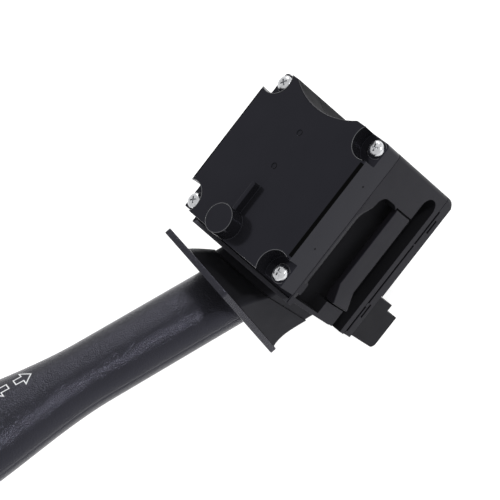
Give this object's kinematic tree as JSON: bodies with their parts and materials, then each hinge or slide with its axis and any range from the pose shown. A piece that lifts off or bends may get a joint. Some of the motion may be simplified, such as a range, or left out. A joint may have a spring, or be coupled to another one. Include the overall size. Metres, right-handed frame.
{
  "type": "steering column stalk switch",
  "caption": "Turn signal and beam stalk switch: switch box with column recess, side guide channels, latch arms and plug socket, and an angled lever that turns and tilts.",
  "frame": {"origin": "middle of the switch box's flat underside", "axes": "+X from the lever towards the steering column, +Z from the underside towards the driver, +Y to the far side of the box"},
  "size_m": [0.1784, 0.0606, 0.1108],
  "materials": {
    "black_plastic": "moulded black plastic, fine satin",
    "cover_plastic": "moulded black plastic, smooth satin",
    "rim_plastic": "moulded black plastic, satin",
    "lever_plastic": "dark charcoal, fine spark grain",
    "core_plastic": "glass filled dark grey",
    "natural_plastic": "off-white low friction plastic",
    "board": "brown laminate",
    "terminal": "tin plated",
    "contact_brass": "stamped, bright",
    "screw_steel": "bright zinc plated",
    "spring_steel": "drawn wire"
  },
  "bodies": {
    "box": {"housing": "black_plastic", "cover": "cover_plastic", "base_plate": "black_plastic", "connector_shroud": "black_plastic", "terminal_pins": "terminal", "cover_screws": "screw_steel", "contact_board": "board", "fixed_contacts": "contact_brass", "detent_track": "natural_plastic", "cancel_spring": "spring_steel"},
    "carrier": {"turn_carrier": "natural_plastic", "tilt_pin": "screw_steel", "turn_spring": "spring_steel", "beam_track": "natural_plastic"},
    "lever": {"lever_root": "lever_plastic", "rim_plate": "rim_plastic", "lever_core": "core_plastic", "lever_shell_top": "lever_plastic", "lever_shell_bottom": "lever_plastic", "lever_end_cap": "lever_plastic", "beam_spring": "spring_steel"},
    "turn_detent": {"turn_plunger": "natural_plastic"},
    "beam_detent": {"beam_plunger": "natural_plastic"},
    "finger": {"cancel_finger": "natural_plastic"},
    "turn_contacts": {"contact_slider": "natural_plastic", "slider_bridges": "contact_brass"},
    "beam_contacts": {"beam_slider": "natural_plastic", "beam_bridges": "contact_brass"},
    "near_latch": {"latch_arm_near": "black_plastic"},
    "far_latch": {"latch_arm_far": "black_plastic"}
  },
  "joints": [
    {"name": "turn", "type": "hinge", "parent": "box", "child": "carrier", "pos_m": [-0.02215, 0.0013, 0.0205], "axis": [0, 0, 1], "range_deg": [-10, 10]},
    {"name": "tilt", "type": "hinge", "parent": "carrier", "child": "lever", "pos_m": [-0.02215, 0.0013, 0.0205], "axis": [0, 1, 0], "range_deg": [-6, 4]},
    {"name": "turn_detent_slide", "type": "slide", "parent": "carrier", "child": "turn_detent", "axis": [1, 0, 0], "range_m": [-0.001, 0], "stiffness_N_per_m": 1500, "springref_m": 0.002},
    {"name": "beam_detent_slide", "type": "slide", "parent": "lever", "child": "beam_detent", "axis": [1, 0, 0], "range_m": [-0.0008, 0], "stiffness_N_per_m": 1500, "springref_m": 0.0015},
    {"name": "finger_slide", "type": "slide", "parent": "box", "child": "finger", "axis": [1, 0, 0], "range_m": [-0.0025, 0], "stiffness_N_per_m": 500, "springref_m": 0.002},
    {"name": "turn_contact_slide", "type": "slide", "parent": "box", "child": "turn_contacts", "axis": [0, 1, 0], "range_m": [-0.0026, 0.0026]},
    {"name": "beam_contact_slide", "type": "slide", "parent": "carrier", "child": "beam_contacts", "axis": [0, 0, 1], "range_m": [-0.0005, 0.0007]},
    {"name": "near_latch_bend", "type": "hinge", "parent": "box", "child": "near_latch", "pos_m": [0.01415, -0.02525, 0.02025], "axis": [0, 0, 1], "range_deg": [-4, 0], "stiffness_Nm_per_rad": 0.5, "springref_deg": 1.15},
    {"name": "far_latch_bend", "type": "hinge", "parent": "box", "child": "far_latch", "pos_m": [0.01415, 0.02525, 0.02025], "axis": [0, 0, 1], "range_deg": [0, 4], "stiffness_Nm_per_rad": 0.5, "springref_deg": -1.15}
  ],
  "couplings": [
    {"joint": "turn_contact_slide", "follows": "turn", "m_per_rad": 0.014},
    {"joint": "beam_contact_slide", "follows": "tilt", "m_per_rad": -0.0054}
  ]
}
